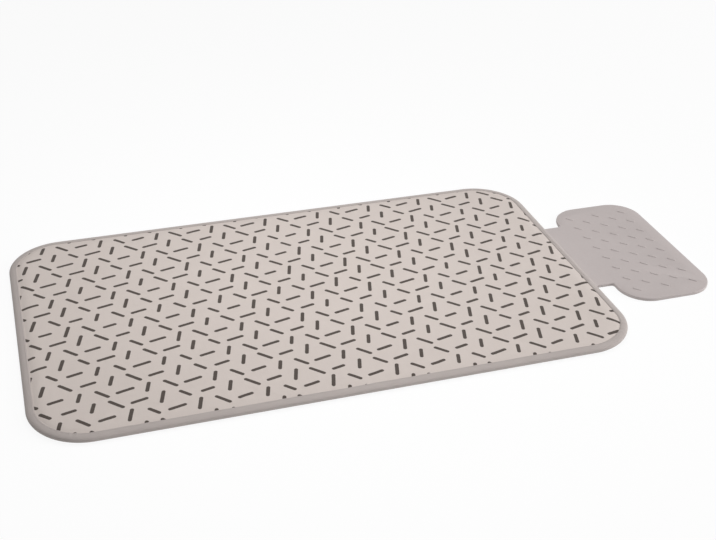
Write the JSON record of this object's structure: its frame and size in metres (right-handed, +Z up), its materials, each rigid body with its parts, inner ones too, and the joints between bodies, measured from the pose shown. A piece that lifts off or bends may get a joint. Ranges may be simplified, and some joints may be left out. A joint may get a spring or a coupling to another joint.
{
  "type": "ironing pad",
  "caption": "Flat rectangular ironing mat with layered padding, a bound edge and rounded corners, and a ribbed silicone iron rest on a flexible neck that folds over at one short end.",
  "frame": {"origin": "middle of the pad's underside, on the table", "axes": "+X along the pad towards the iron rest, +Y across the pad, +Z up out of the ironing surface"},
  "size_m": [1.2119, 0.6, 0.0125],
  "materials": {
    "cover": "matte",
    "film": "satin",
    "foam": "matte",
    "felt": "matte",
    "backing": "matte",
    "tape": "matte",
    "thread": "satin",
    "silicone": "satin"
  },
  "bodies": {
    "pad": {"backing_cloth": "backing", "felt_layer": "felt", "foam_layer": "foam", "reflective_film": "film", "top_cover": "cover", "edge_binding": "tape", "binding_needle_thread": "thread", "binding_bobbin_thread": "thread", "iron_rest_flange": "silicone", "rest_needle_thread": "thread", "rest_bobbin_thread": "thread"},
    "rest_neck": {"iron_rest_neck": "silicone"},
    "iron_rest": {"iron_rest_plate": "silicone"}
  },
  "joints": [
    {"name": "neck_fold", "type": "hinge", "parent": "pad", "child": "rest_neck", "pos_m": [0.5037, -0.0047, 0.006], "axis": [0, -1, 0], "range_deg": [0, 90]},
    {"name": "rest_fold", "type": "hinge", "parent": "rest_neck", "child": "iron_rest", "pos_m": [0.5122, -0.0047, 0.006], "axis": [0, -1, 0], "range_deg": [0, 90]}
  ]
}
